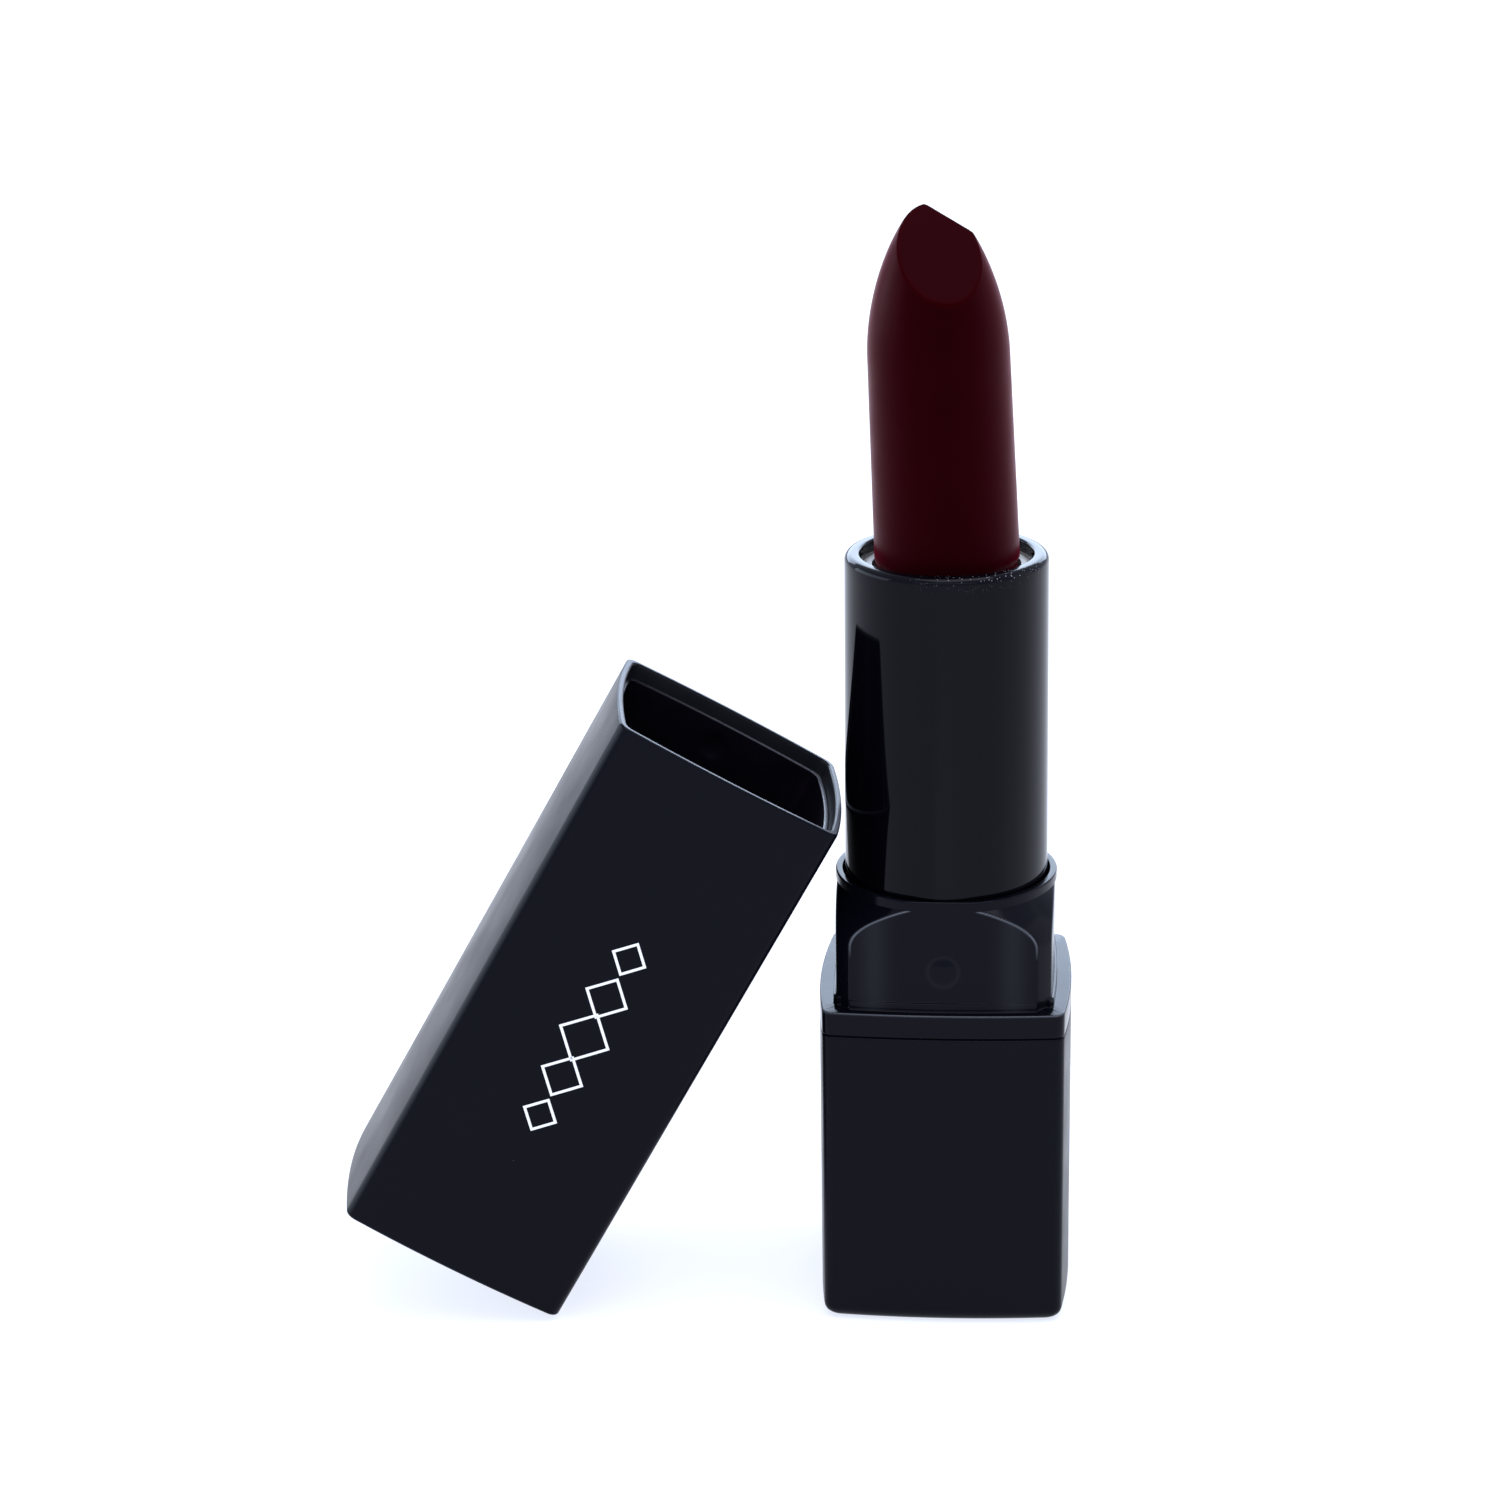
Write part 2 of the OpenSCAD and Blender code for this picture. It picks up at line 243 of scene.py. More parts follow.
class Surface:
    """A Principled material whose textures lie in the object's own space."""

    def __init__(self, name, colour, roughness, specular):
        self.material = bpy.data.materials.new(name)
        self.material.use_nodes = True
        self.nodes = self.material.node_tree.nodes
        self.links = self.material.node_tree.links
        self.shader = self.nodes["Principled BSDF"]
        self.set("Base Color", (*colour, 1))
        self.set("Roughness", roughness)
        self.set("Specular IOR Level", specular)
        self.space = self.nodes.new("ShaderNodeTexCoord").outputs["Object"]

    def set(self, socket, value):
        self.shader.inputs[socket].default_value = value

    def noise(self, size, detail=2.0, stretch=(1, 1, 1)):
        """Noise whose features are about size metres across."""
        mapping = self.nodes.new("ShaderNodeMapping")
        mapping.inputs["Scale"].default_value = stretch
        self.links.new(self.space, mapping.inputs["Vector"])
        node = self.nodes.new("ShaderNodeTexNoise")
        node.inputs["Scale"].default_value = 1 / size
        node.inputs["Detail"].default_value = detail
        self.links.new(mapping.outputs["Vector"], node.inputs["Vector"])
        return node.outputs["Fac"]

    def spread(self, factor, low, high, start=0.3, end=0.7):
        """Maps start to end of a factor onto low to high."""
        node = self.nodes.new("ShaderNodeMapRange")
        for socket, value in zip(("From Min", "From Max", "To Min", "To Max"), (start, end, low, high)):
            node.inputs[socket].default_value = value
        self.links.new(factor, node.inputs["Value"])
        return node.outputs["Result"]

    def specks(self, cell, radius, share):
        """A mask of small dots: one per cell of about cell metres, in a share of the cells."""
        node = self.nodes.new("ShaderNodeTexVoronoi")
        node.inputs["Scale"].default_value = 1 / cell
        self.links.new(self.space, node.inputs["Vector"])
        near = self.spread(node.outputs["Distance"], 1, 0, 0.6 * radius / cell, radius / cell)
        split = self.nodes.new("ShaderNodeSeparateColor")
        self.links.new(node.outputs["Color"], split.inputs["Color"])
        chosen = self.spread(split.outputs["Red"], 0, 1, 1 - share, 1 - share + 0.01)
        return self.both(near, chosen)

    def both(self, first, second):
        """A mask of where two masks meet."""
        node = self.nodes.new("ShaderNodeMath")
        node.operation = "MULTIPLY"
        self.links.new(first, node.inputs[0])
        self.links.new(second, node.inputs[1])
        return node.outputs["Value"]

    def marked(self, name):
        """A mask stored on the mesh's points."""
        node = self.nodes.new("ShaderNodeAttribute")
        node.attribute_name = name
        return node.outputs["Fac"]

    def rough(self, factor, low, high):
        """Lets the roughness wander between two values."""
        self.links.new(self.spread(factor, low, high), self.shader.inputs["Roughness"])

    def tint(self, factor, other):
        """Mixes the base colour with another one where factor is high."""
        mix = self.nodes.new("ShaderNodeMix")
        mix.data_type = "RGBA"
        before = self.shader.inputs["Base Color"]
        colours = [s for s in mix.inputs if s.type == "RGBA"]
        if before.links:
            self.links.new(before.links[0].from_socket, colours[0])
        else:
            colours[0].default_value = before.default_value
        colours[1].default_value = (*other, 1)
        self.links.new(factor, mix.inputs["Factor"])
        self.links.new([s for s in mix.outputs if s.type == "RGBA"][0], before)

    def relief(self, factor, depth):
        """Adds a bump of about depth metres."""
        node = self.nodes.new("ShaderNodeBump")
        node.inputs["Distance"].default_value = depth
        node.inputs["Strength"].default_value = 1
        self.links.new(factor, node.inputs["Height"])
        normal = self.shader.inputs["Normal"]
        if normal.links:
            self.links.new(normal.links[0].from_socket, node.inputs["Normal"])
        self.links.new(node.outputs["Normal"], normal)


def shell_plastic():
    s = Surface("shell_black", (0.0021, 0.0021, 0.0046), 0.3, 0.078)
    s.set("Specular Tint", (0.9, 0.93, 1, 1))
    s.rough(s.noise(6 * MM), 0.26, 0.34)
    s.tint(s.specks(2.4 * MM, 0.045 * MM, 0.14), (0.10, 0.10, 0.11))
    # Painted highlight along the cap's rim; the base shell carries no such mask
    s.tint(s.marked("edge"), (0.2, 0.21, 0.24))
    s.relief(s.noise(0.12 * MM, 3), 0.0012 * MM)
    s.relief(s.noise(9 * MM, 1), 0.008 * MM)
    return s.material


# The same plastic as the shell's outside, painted several times lighter on the cap's inner wall: painted light
def cap_inside_painted_lighter():
    s = Surface("shell_inside_painted_lighter", (0.009, 0.0098, 0.0125), 0.4, 0.15)
    s.rough(s.noise(3 * MM), 0.34, 0.46)
    s.relief(s.noise(0.2 * MM, 2), 0.002 * MM)
    return s.material


def collar_plastic():
    s = Surface("collar_black", (0.0014, 0.0016, 0.0034), 0.16, 0.1)
    s.rough(s.noise(4 * MM), 0.12, 0.2)
    s.set("Specular Tint", (0.89, 0.86, 1, 1))
    s.tint(s.specks(1.8 * MM, 0.035 * MM, 0.12), (0.12, 0.12, 0.13))
    # Painted highlights on the collar's arches, round its bump, in two bands on its neck and along the flange's top
    # edge
    s.tint(s.marked("edge"), (0.28, 0.3, 0.34))
    s.relief(s.noise(4 * MM, 2), 0.012 * MM)
    return s.material


def sleeve_plastic():
    s = Surface("sleeve_black", (0.0009, 0.0008, 0.0018), 0.05, 0.112)
    s.set("Specular Tint", (0.89, 0.86, 1, 1))
    s.rough(s.noise(5 * MM), 0.035, 0.065)
    s.tint(s.spread(s.noise(2.6 * MM, 3, (1, 1, 0.04)), 0, 1, 0.45, 0.75), (0.0026, 0.0023, 0.0036))
    s.tint(s.specks(2.2 * MM, 0.03 * MM, 0.1), (0.14, 0.14, 0.15))
    # White specks on the rim's front right: rim wear, and painted glints
    s.tint(s.both(s.marked("wear_and_painted_glints"), s.specks(0.22 * MM, 0.05 * MM, 0.5)), (0.45, 0.47, 0.5))
    s.relief(s.noise(5 * MM, 1, (1, 1, 0.18)), 0.012 * MM)
    return s.material


def liner_plastic():
    s = Surface("liner_black", (0.0021, 0.0012, 0.0035), 0.34, 0.2)
    s.set("Specular Tint", (1, 0.85, 1, 1))
    s.rough(s.noise(3 * MM), 0.28, 0.4)
    # Painted highlight along the liner's top edge
    s.tint(s.marked("edge"), (0.1, 0.105, 0.12))
    s.relief(s.noise(0.3 * MM, 2), 0.003 * MM)
    return s.material


def lip_wax():
    s = Surface("lip_wax", (0.0088, 0.0001, 0.0006), 0.32, 0.03)
    s.set("Specular Tint", (1, 0.1, 0.2, 1))
    s.set("Sheen Weight", 0.15)
    s.set("Sheen Tint", (1, 0.04, 0.12, 1))
    s.rough(s.noise(2.5 * MM), 0.28, 0.36)
    s.tint(s.spread(s.noise(3 * MM, 3), 0, 0.5), (0.0106, 0.0003, 0.0009))
    # Painted shade: a deeper red along the rounded edge of each cut, where that edge reflects less light
    s.tint(s.marked("edge"), (0.012, 0, 0.0003))
    s.relief(s.noise(0.5 * MM, 3), 0.003 * MM)
    s.relief(s.noise(4 * MM, 1), 0.03 * MM)
    return s.material


def moulded_grey():
    s = Surface("moulded_grey", (0.45, 0.45, 0.44), 0.4, 0.5)
    s.rough(s.noise(2 * MM), 0.34, 0.46)
    s.relief(s.noise(0.2 * MM), 0.003 * MM)
    return s.material


def weight_steel():
    s = Surface("weight_steel", (0.5, 0.5, 0.51), 0.35, 0.5)
    s.set("Metallic", 1.0)
    s.rough(s.noise(0.6 * MM, 3, (1, 1, 6)), 0.28, 0.45)
    s.relief(s.noise(0.3 * MM, 3), 0.006 * MM)
    return s.material


def seal_rubber():
    s = Surface("seal_rubber", (0.012, 0.012, 0.012), 0.5, 0.4)
    s.rough(s.noise(0.5 * MM), 0.4, 0.6)
    s.relief(s.noise(0.1 * MM), 0.003 * MM)
    return s.material


def white_print():
    s = Surface("white_print", (0.88, 0.88, 0.9), 0.5, 0.4)
    s.rough(s.noise(0.4 * MM), 0.42, 0.58)
    s.relief(s.noise(0.08 * MM), 0.001 * MM)
    return s.material


# ---------------------------------------------------------------- pieces

def base_shell(material):
    """Square base: rounded foot, flat faces, a rim that the collar closes, and a recess for the label."""
    foot_r = 1.3 * MM
    rim_r = 0.2 * MM
    rings = [round_ring(LABEL_R, LABEL_T), round_ring(LABEL_R, 0)]
    rings += [case_ring(inset, z) for inset, z in rounded_edge(foot_r, 0, True, 12)]
    rings += [case_ring(inset, z) for inset, z in rounded_edge(rim_r, base_high.z, False)[::-1]]
    rings += [case_ring(BASE_WALL, base_high.z), case_ring(BASE_WALL, BASE_FLOOR)]
    points, faces = ring_mesh(rings)
    return piece("base_shell_skin", points, faces, material, "case", ["base_shell"])


def smooth_min(a, b, blend):
    """The smaller of two distances, with the crease between them rounded."""
    share = np.clip(0.5 + 0.5 * (b - a) / blend, 0, 1)
    return b + (a - b) * share - blend * share * (1 - share)


def polar_radius(outline, angles):
    """How far an outline lies from the axis in each direction."""
    around = np.arctan2(outline[:, 1], outline[:, 0])
    order = np.argsort(around)
    reach = np.hypot(outline[:, 0], outline[:, 1])[order]
    return np.interp(angles, around[order], reach, period=2 * math.pi)


def collar_angles():
    """Directions round the collar, closer together at the corners."""
    corner = math.radians(43.5)
    close = math.radians(7)
    side = np.linspace(0, corner - close, 62)[:-1]
    tight = np.linspace(corner - close, corner + close, 52)[:-1]
    front = np.linspace(corner + close, math.pi / 2, 66)[:-1]
    quarter = np.concatenate((side, tight, front))
    half = np.concatenate((quarter, [math.pi / 2], (math.pi - quarter[1:])[::-1]))
    return np.concatenate((half, [math.pi], (2 * math.pi - half[1:])[::-1]))


def collar(material):
    """Flange, square neck, round ring, snap bumps and ribs as one moulded skin round the bore.

    Each ring of points lies at one height. The neck's corners are cut back by a cylinder that narrows
    to the round ring in a cone, which leaves an arch on each face.
    """
    angles = collar_angles()
    cosine, sine = np.cos(angles), np.sin(angles)
    on_front = abs(sine) > abs(cosine)
    flange, neck = (polar_radius(bowed_outline(*plan, face_steps=160), angles) for plan in (
        (CASE_W, CASE_D, SIDE_BOW, FRONT_BOW, CORNER_R),
        (NECK_W, NECK_D, NECK_SIDE_BOW, NECK_FRONT_BOW, NECK_CORNER_R)))
    crease = 0.15 * MM
    shoulder = 1.2 * MM
    edge = 0.07 * MM
    rim_r = 0.14 * MM
    bore_edge_r = 0.08 * MM
    flange_r = 0.2 * MM
    foot_r = 0.1 * MM
    root_r = 0.1 * MM
    gap = 0.12 * MM
    line = 0.055 * MM
    halo_w = 3 * line
    band_z = NECK_TOP - RING_H
    arch_z = FLANGE_TOP + 4.5 * MM
    arch_fade = 2 * MM
    band_x, band_w = 5.8 * MM, 1.1 * MM
    bump_z = FLANGE_TOP + BUMP_DROP
    rib_z = FLANGE_TOP + RIB_H
    ball_r = (BUMP_R ** 2 + BUMP_H ** 2) / (2 * BUMP_H)
    band = np.where(on_front, smooth_min(neck, RING_R, crease), RING_R)

    def ring(radius, z):
        return np.column_stack((radius * cosine, radius * sine, np.full(len(angles), z)))

    def neck_ring(z):
        """The neck's radius at a height, and a mask of painted highlights along its arches, round its snap bump and
        in two bands on its face.
        """
        cut = smooth_min(NECK_CUT_R, RING_R + max(band_z - z, 0), shoulder)
        under = smooth_min(neck, cut, crease)
        radius = under + (band - under) * np.clip((z - band_z) / edge + 0.5, 0, 1)
        x, y = radius * cosine, radius * sine
        on_rib = np.clip((RIB_END - np.minimum(abs(x), abs(y))) / edge, 0, 1)
        rib = np.clip((rib_z - z) / edge, 0, 1) * on_rib
        apart = np.hypot(x, z - bump_z)
        bump = np.sqrt(np.maximum(ball_r ** 2 - apart ** 2, 0)) - (ball_r - BUMP_H)
        # Painted highlights: a thin line along each arch, a ring round the snap bump and two soft bands on the face
        on_arch = np.clip((band_z - z) / edge, 0, 1) * np.clip((z - arch_z) / arch_fade, 0, 1)
        arch = np.exp(-((cut - neck) / line) ** 2) * on_arch
        halo = np.where(on_front, np.exp(-((apart - BUMP_R) / halo_w) ** 2), 0)
        side = np.where(on_front & (neck < cut), np.exp(-((abs(x) - band_x) / band_w) ** 2), 0)
        outside = radius + RIB_OUT * rib + np.where(on_front, np.maximum(bump, 0), 0)
        return outside, ARCH_SHINE * arch + HALO_SHINE * halo + BAND_SHINE * side

    def add(radius, z, shine=0.0):
        rings.append(ring(np.broadcast_to(radius, angles.shape), z))
        shines.append(np.broadcast_to(shine, angles.shape))

    rings, shines = [], []
    add(flange - gap, base_high.z)
    add(flange - gap, base_high.z + gap)
    for inset, z in rounded_edge(foot_r, base_high.z + gap, True):
        add(flange - inset, z)
    # The flange's top edge gets a painted highlight
    for inset, z in rounded_edge(flange_r, FLANGE_TOP, False)[::-1]:
        add(flange - inset, z, FLANGE_SHINE * min(inset, flange_r - inset) / flange_r)
    root = neck_ring(FLANGE_TOP)[0]
    add(root + root_r, FLANGE_TOP)
    add(root + 0.3 * root_r, FLANGE_TOP + 0.1 * root_r)
    heights = np.concatenate((
        np.linspace(FLANGE_TOP + 0.5 * root_r, rib_z - 2 * edge, 5),
        np.linspace(rib_z - 1.4 * edge, rib_z + 0.4 * edge, 6),
        np.linspace(rib_z + edge, band_z - 2 * edge, 84),
        np.linspace(band_z - edge, band_z + edge, 8),
        np.linspace(band_z + 1.5 * edge, NECK_TOP - rim_r, 5),
    ))
    for z in heights:
        radius, shine = neck_ring(z)
        add(radius, z, shine)
    for inset, z in rounded_edge(rim_r, NECK_TOP, False)[::-1][1:]:
        add(band - inset, z)
    for inset, z in rounded_edge(bore_edge_r, NECK_TOP, False):
        add(COLLAR_BORE_R + inset, z)
    add(COLLAR_BORE_R, base_high.z)
    points, faces = ring_mesh(rings, close=False)
    skin = piece("collar_skin", points, faces, material, "case", ["collar"])
    # The edge mask holds the collar's painted highlights
    mark(skin, "edge", np.concatenate(shines))
    return skin


def turned(profile, segments=256):
    """Rings of a body of revolution whose profile is a closed list of (radius, z)."""
    angles = np.linspace(0, 2 * math.pi, segments, endpoint=False)
    return [np.column_stack((r * np.cos(angles), r * np.sin(angles), np.full(segments, z))) for r, z in profile]


def quarter_turn(centre, radius, start, steps=8):
    """(radius, z) pairs round a quarter of a circle."""
    return [tuple(p) for p in arc(centre, radius, start, start + math.pi / 2, steps)]


def sleeve(material):
    """Polished tube with a slight draft and a rounded, in-turned rim."""
    foot_r = (sleeve_high.x - sleeve_low.x) / 2
    top = sleeve_high.z
    wall_top = top - RIM_EDGE_R
    profile = [(SLEEVE_IN_R, sleeve_low.z), (foot_r, sleeve_low.z)]
    for share in (0, 0.25, 0.5, 0.75, 0.97):
        profile.append((foot_r + (SLEEVE_R - foot_r) * share, NECK_TOP + (wall_top - NECK_TOP) * share))
    profile += quarter_turn((SLEEVE_R - RIM_EDGE_R, wall_top), RIM_EDGE_R, 0)
    profile += quarter_turn((MOUTH_R + MOUTH_EDGE_R, top - MOUTH_EDGE_R), MOUTH_EDGE_R, math.pi / 2)
    profile += [(MOUTH_R, top - LIP_H), (SLEEVE_IN_R, top - LIP_H)]
    points, faces = ring_mesh(turned(profile), close=False)
    skin = piece("sleeve_skin", points, faces, material, "sleeve", ["sleeve"])
    x, y, z = points.T
    # Mask for the rim's wear and painted glints, only on the front right of the rim
    on_rim = np.clip((z - wall_top) / RIM_EDGE_R + 0.2, 0, 1) * (np.hypot(x, y) > MOUTH_R)
    mark(skin, "wear_and_painted_glints", on_rim * np.clip((x - y) / SLEEVE_R - 0.5, 0, 1))
    return skin


def bullet(material):
    """Tapered stick with a rounded nose, cut off at a slant and trimmed behind the tip."""
    foot_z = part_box("bullet")[0].z
    upright = (Matrix.Translation((0, 0, LEAN_Z)) @ Matrix.Rotation(-BULLET_LEAN, 4, "Y")
               @ Matrix.Translation((0, 0, -LEAN_Z)))
    ridge = 0.2 * MM
    shelf = 0.3 * MM
    planes = []
    for slant, turn, point in CUTS:
        slant, turn = math.radians(slant), math.radians(turn)
        normal = Vector((math.sin(slant) * math.cos(turn), math.sin(slant) * math.sin(turn), math.cos(slant)))
        normal = upright.to_3x3().inverted() @ normal
        planes.append((normal, normal.dot(upright.inverted() @ (Vector(point) * MM))))

    def cut_height(radius, out):
        first, second = ((offset - radius * normal.dot(out)) / normal.z for normal, offset in planes)
        return smooth_min(first, second, ridge)

    steps = np.sin(np.linspace(0, math.pi / 2, 500))
    nose_r = BULLET_R * np.maximum(1 - steps ** NOSE_POWER, 0) ** (1 / NOSE_ROOT)
    nose_h = SHOULDER_Z + (NOSE_Z - SHOULDER_Z) * steps
    side_z = np.linspace(BODY_Z + shelf, SHOULDER_Z, 24)[:-1]
    wall = np.vstack((
        [(BULLET_FOOT_R, foot_z), (BULLET_FOOT_R, BODY_Z)],
        np.column_stack((BULLET_R + BULLET_TAPER * (SHOULDER_Z - side_z), side_z)),
        np.column_stack((nose_r, nose_h)),
    ))
    angles = np.linspace(0, 2 * math.pi, 288, endpoint=False)
    columns = []
    for angle in angles:
        out = Vector((math.cos(angle), math.sin(angle), 0))
        over = cut_height(wall[:, 0], out) - wall[:, 1]
        last = int(np.argmin(over >= 0)) - 1
        meet = wall[last] + (wall[last + 1] - wall[last]) * over[last] / (over[last] - over[last + 1])
        inward = meet[0] * np.linspace(1, 0, 120)
        line = np.vstack((wall[:last + 1], np.column_stack((inward, cut_height(inward, out)))))
        columns.append(soft_path(line, last + 1))
    grid = np.array([path for path, _ in columns])
    # The corner masks from soft_path carry the painted shade along the cut's rounded edge
    edges = np.array([edge for _, edge in columns]).T[:-1].ravel()
    rings = [np.column_stack((grid[:, i, 0] * np.cos(angles), grid[:, i, 0] * np.sin(angles), grid[:, i, 1]))
             for i in range(grid.shape[1] - 1)]
    points, faces = ring_mesh(rings)
    skin = piece("bullet_skin", points, faces, material, "carrier", ["bullet"], upright)
    mark(skin, "edge", np.concatenate((edges, (0, 0))))
    return skin


def soft_path(line, corner):
    """Points along a path, crowded at one sharp corner, which is rounded, and a mask of that corner."""
    soften = 0.15 * MM
    wide = 4 * soften
    along = np.concatenate(([0], np.cumsum(np.hypot(*np.diff(line, axis=0).T))))
    corner_at = along[corner]
    places = np.concatenate((
        np.linspace(0, corner_at - wide, 90)[:-1],
        np.linspace(corner_at - wide, corner_at + wide, 40)[:-1],
        np.linspace(corner_at + wide, along[-1], 70),
    ))
    offsets = np.linspace(-2, 2, 9)
    weights = np.exp(-offsets ** 2 / 2)
    weights /= weights.sum()
    reach = np.minimum(soften, np.minimum(places, along[-1] - places) / 2)
    reach = np.where(abs(places - corner_at) < wide, reach, 0)
    path = np.zeros((len(places), 2))
    for offset, weight in zip(offsets, weights):
        at = places + offset * reach
        path += weight * np.column_stack([np.interp(at, along, line[:, i]) for i in (0, 1)])
    return path, np.exp(-((places - corner_at) / (2 * soften)) ** 4)


def cap_place():
    """Where the cap leans: its hinge gives its foot, its turn and its lean."""
    hinge = next(j for j in frame["joints"] if j["name"] == "cap_tip")
    turn = math.atan2(hinge["axis"][0], -hinge["axis"][1])
    lean = math.radians(hinge["range_deg"][1])
    return (Matrix.Translation(hinge["pos_m"]) @ Matrix.Rotation(turn, 4, "Z")
            @ Matrix.Rotation(lean, 4, "Y") @ Matrix.Translation((-base_high.x, 0, 0)))


def cap_shell(material, inside):
    """Square outer cap: crisp closed end, thin rounded rim, open inside."""
    end_r = 0.35 * MM
    rim_r = 0.22 * MM
    rim_top = 0.02 * MM
    margin = 1 * MM
    rings = [case_ring(END_INSET, 0)]
    rings += [case_ring(inset, z) for inset, z in rounded_edge(end_r, 0, True, 8)]
    rings += [case_ring(0, z) for z in np.linspace(margin, CAP_L - margin, 9)]
    rings += [case_ring(inset, z) for inset, z in rounded_edge(rim_r, CAP_L, False)[::-1]]
    inner = len(rings) + EDGE_STEPS - 2
    rings += [case_ring(CAP_WALL - inset, z) for inset, z in rounded_edge(rim_r, CAP_L, False)]
    rings += [case_ring(CAP_WALL, CAP_L - margin), case_ring(CAP_WALL, CAP_END_T), case_ring(END_INSET, CAP_END_T)]
    points, faces = ring_mesh(rings)
    shell = piece("cap_shell_skin", points, faces, material, "cap", ["cap_shell"], cap_place())
    # The inner wall faces take the lighter, painted copy of the shell plastic
    shell.data.materials.append(inside)
    for face in shell.data.polygons:
        ring = min(face.vertices) // len(rings[0])
        if inner <= ring < len(rings):
            face.material_index = 1
    # Painted highlight on the top of the cap's rim
    mark(shell, "edge", RIM_SHINE * (points[:, 2] > CAP_L - rim_top))
    return shell


def cap_liner(material):
    """Inner cap, set back from the rim, with a snap recess in its front and back walls."""
    outer = CAP_WALL + SEAT
    inner = outer + LINER_WALL
    top = CAP_L - LINER_STEP
    edge = 0.12 * MM
    recess_z = CAP_L - BUMP_DROP
    recess = 0.15 * MM
    margin = 0.2 * MM
    lit = 0.08 * MM
    rings = [case_ring(END_INSET, CAP_END_T), case_ring(outer, CAP_END_T)]
    rings += [case_ring(outer + inset, z) for inset, z in rounded_edge(edge, top, False)[::-1]]
    rings += [case_ring(inner - inset, z) for inset, z in rounded_edge(edge, top, False)]
    for z in np.linspace(top - margin, recess_z - BUMP_R - margin, 22):
        ring = case_ring(inner, z)
        apart = np.hypot(ring[:, 0], z - recess_z) / BUMP_R
        depth = recess * np.maximum(1 - apart ** 2, 0)
        ring[:, 1] += np.sign(ring[:, 1]) * np.where(abs(ring[:, 1]) > abs(ring[:, 0]), depth, 0)
        rings.append(ring)
    rings += [case_ring(inner, CAP_END_T + LINER_END_T), case_ring(4 * MM, CAP_END_T + LINER_END_T)]
    points, faces = ring_mesh(rings)
    skin = piece("cap_liner_skin", points, faces, material, "cap", ["cap_liner"], cap_place())
    # Painted highlight along the liner's top edge, stronger towards +X
    on_edge = points[:, 2] > top - lit
    mark(skin, "edge", on_edge * np.clip(0.5 + points[:, 0] / CASE_W, 0, 1))
    return skin


def ornament(material):
    """Plain white print on the cap's front: a chain of five outlined lozenges, largest in the middle."""
    skin = 0.012 * MM
    line = 0.33 * MM
    middle = 24.5 * MM
    pitch = 4.0 * MM
    half_w, half_h = 2.4 * MM, 2.48 * MM
    shrink = 0.16
    steps = 8
    front_r = arc_radius(CASE_W, FRONT_BOW)

    def on_front(x, z):
        y = CASE_D / 2 + FRONT_BOW - front_r + math.sqrt(front_r ** 2 - x * x)
        return (x, -y - skin, z)

    points, faces = [], []
    for i in range(-2, 3):
        size = 1 - shrink * abs(i)
        w, h, z = half_w * size, half_h * size, middle + i * pitch
        for sx, sz in ((1, 1), (-1, 1), (-1, -1), (1, -1)):
            start = len(points)
            for t in np.linspace(0, 1, steps + 1):
                points.append(on_front(sx * w * t, z + sz * h * (1 - t)))
                points.append(on_front(sx * (w - line) * t, z + sz * (h - line) * (1 - t)))
            for k in range(start, start + 2 * steps, 2):
                quad = (k, k + 1, k + 3, k + 2)
                faces.append(quad if sx * sz > 0 else quad[::-1])
    return piece("cap_ornament", points, faces, material, "cap", (), cap_place())


def build():
    """Makes every piece that is seen, and gives the CAD nodes that stay their materials."""
    black, gloss, polished = shell_plastic(), collar_plastic(), sleeve_plastic()
    grey, wax, white = moulded_grey(), lip_wax(), white_print()
    base_shell(black)
    collar(gloss)
    sleeve(polished)
    bullet(wax)
    cap_shell(black, cap_inside_painted_lighter())
    cap_liner(liner_plastic())
    ornament(white)
    kept = {"base_insert": grey, "inner_body": grey, "spiral": grey, "cup": grey,
            "base_weight": weight_steel(), "drag_ring": seal_rubber(), "shade_label": white}
    for name, material in kept.items():
        mesh = frame["nodes"][name].data
        mesh.materials.clear()
        mesh.materials.append(material)


# ---------------------------------------------------------------- stage

def floor():
    """A wide pale table top that glows faintly, so that shadows on it stay light."""
    s = Surface("floor", (0.36, 0.36, 0.36), 0.9, 0)
    s.set("Emission Color", (0.86, 0.89, 1, 1))
    s.set("Emission Strength", 0.83)
    s.material.cycles.emission_sampling = "NONE"
    size = 4.0
    mesh = bpy.data.meshes.new("floor")
    mesh.from_pydata([(-size, -size, 0), (size, -size, 0), (size, size, 0), (-size, size, 0)], [], [(0, 1, 2, 3)])
    mesh.materials.append(s.material)
    obj = bpy.data.objects.new("floor", mesh)
    bpy.context.scene.collection.objects.link(obj)


def softbox(name, place, target, width, height, radiance, colour=(1, 1, 1)):
    """A rectangular light of the given size and brightness, turned towards a point."""
    light = bpy.data.lights.new(name, "AREA")
    light.shape = "RECTANGLE"
    light.size, light.size_y = width, height
    light.energy = radiance * math.pi * width * height
    light.color = colour
    obj = bpy.data.objects.new(name, light)
    obj.location = place
    obj.rotation_euler = (Vector(target) - Vector(place)).to_track_quat("-Z", "Y").to_euler()
    bpy.context.scene.collection.objects.link(obj)


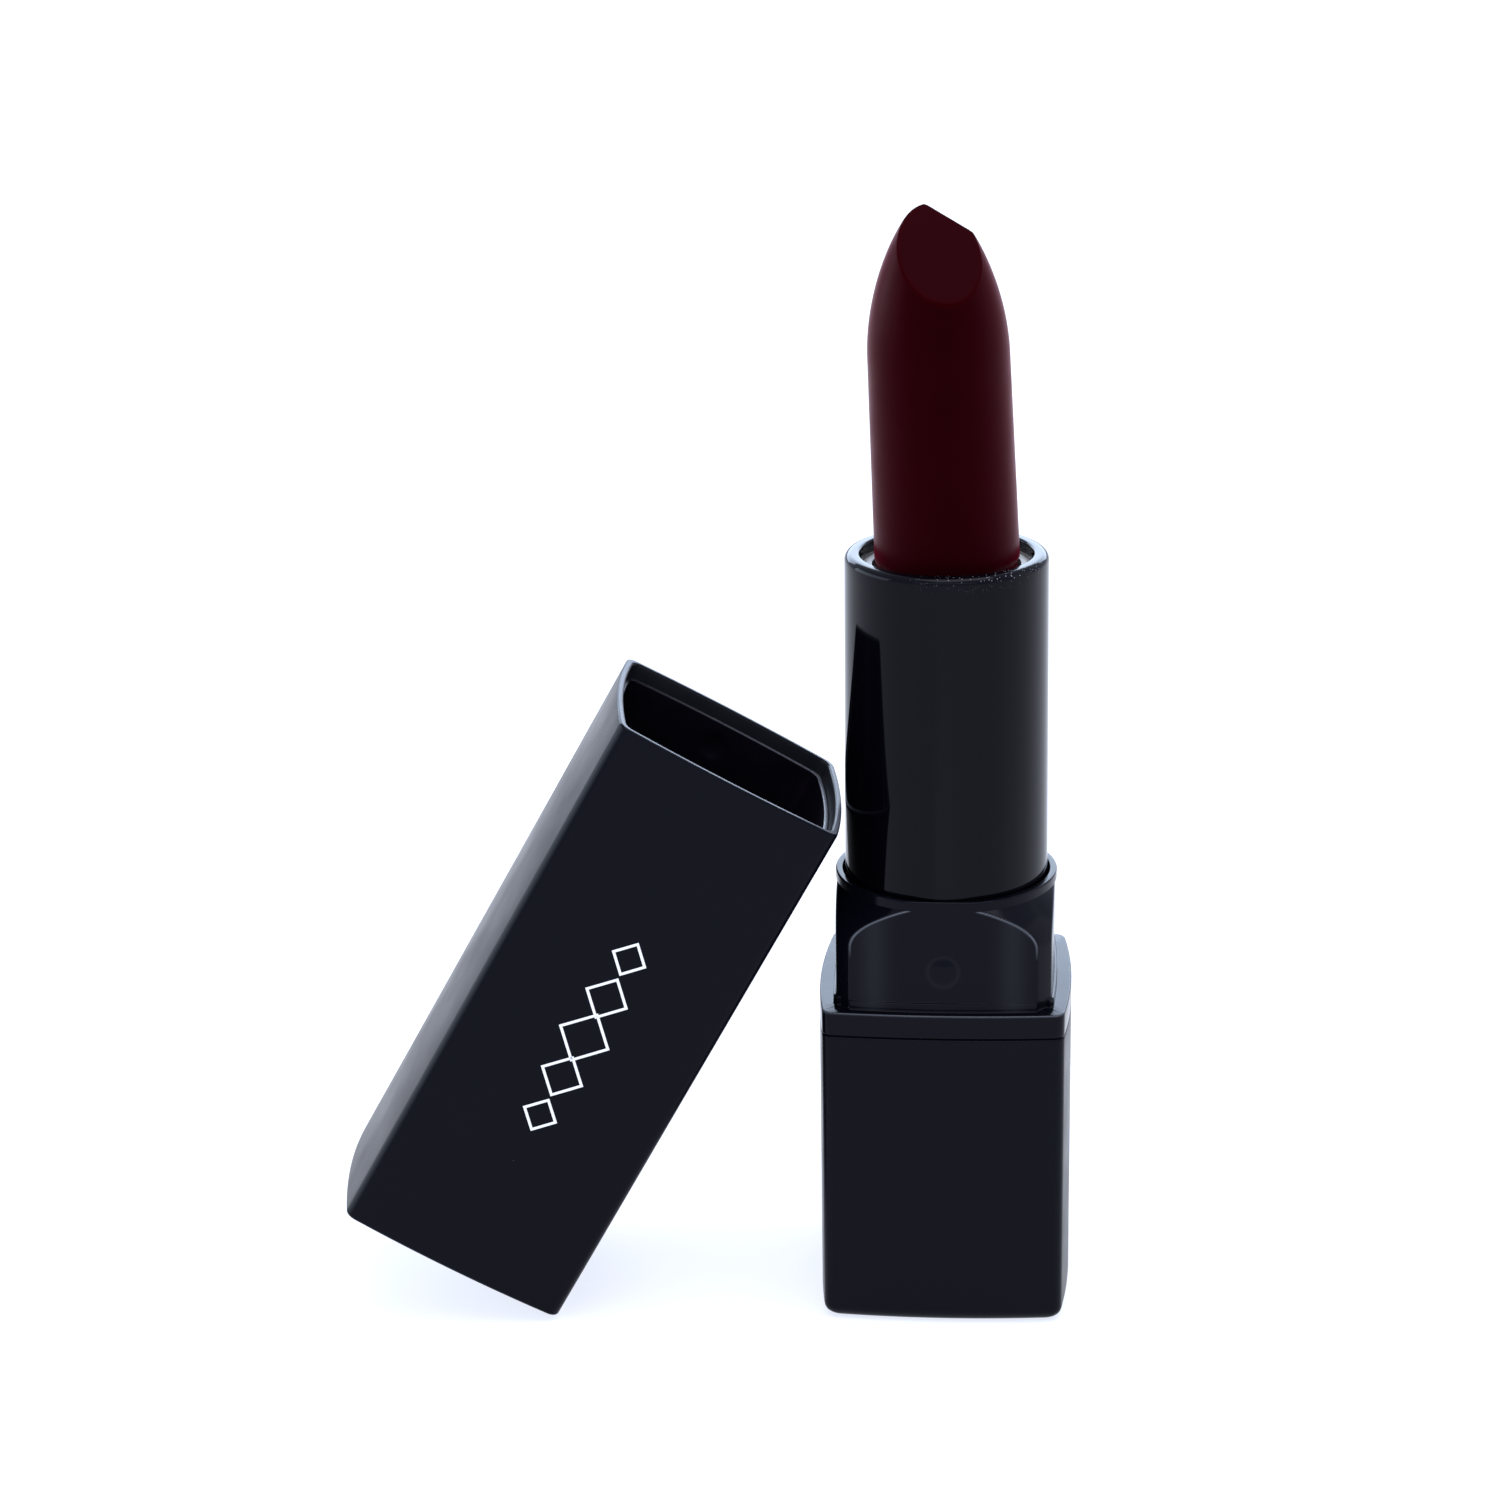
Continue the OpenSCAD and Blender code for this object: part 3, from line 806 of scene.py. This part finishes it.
def lights():
    """A cool studio: pale walls all round, a bright box behind, and weaker ones at the sides, above and in front."""
    world = bpy.data.worlds.new("studio")
    bpy.context.scene.world = world
    world.use_nodes = True
    background = world.node_tree.nodes["Background"]
    background.inputs["Color"].default_value = (0.72, 0.8, 1.0, 1)
    background.inputs["Strength"].default_value = 1.08
    centre = (0, 0, 0.05)
    softbox("back_box", (-0.1, 1.1, 0.44), centre, 1.5, 0.45, 5.6, (0.66, 0.8, 1.0))
    softbox("left_box", (-0.95, 0.05, 0.24), centre, 1.0, 0.45, 3.4, (0.74, 0.89, 1.0))
    softbox("right_box", (0.9, 0.1, 0.35), centre, 0.5, 0.7, 0.55)
    softbox("top_box", (0.1, -0.15, 0.9), centre, 0.8, 0.6, 2.8)
    softbox("front_box", (0, -0.95, 0.6), centre, 1.4, 0.2, 1.2, (0.86, 0.93, 1.0))


def camera():
    """A long lens a third of a metre from the case, a little above it."""
    focal, sensor, image = 3952.18, 36.0, 1500
    azimuth, elevation, roll = math.radians(4.007), math.radians(18.529), math.radians(-0.682)
    target, distance = Vector((-12.93, 0, 47.598)) * MM, 334.14 * MM
    centre = (793.4, 758.0)
    forward = Vector((-math.sin(azimuth) * math.cos(elevation), math.cos(azimuth) * math.cos(elevation),
                      -math.sin(elevation)))
    level = Vector((math.cos(azimuth), math.sin(azimuth), 0))
    up = level.cross(forward)
    right = level * math.cos(roll) + up * math.sin(roll)
    above = -level * math.sin(roll) + up * math.cos(roll)
    data = bpy.data.cameras.new("camera")
    data.sensor_width = sensor
    data.lens = focal / image * sensor
    data.shift_x = -(centre[0] - image / 2) / image
    data.shift_y = (centre[1] - image / 2) / image
    data.clip_start = 0.01
    obj = bpy.data.objects.new("camera", data)
    turn = Matrix((right, above, -forward)).transposed().to_4x4()
    obj.matrix_world = Matrix.Translation(target - forward * distance) @ turn
    bpy.context.scene.collection.objects.link(obj)
    bpy.context.scene.camera = obj


build()
floor()
lights()
camera()
bpy.context.scene.view_settings.view_transform = "Standard"
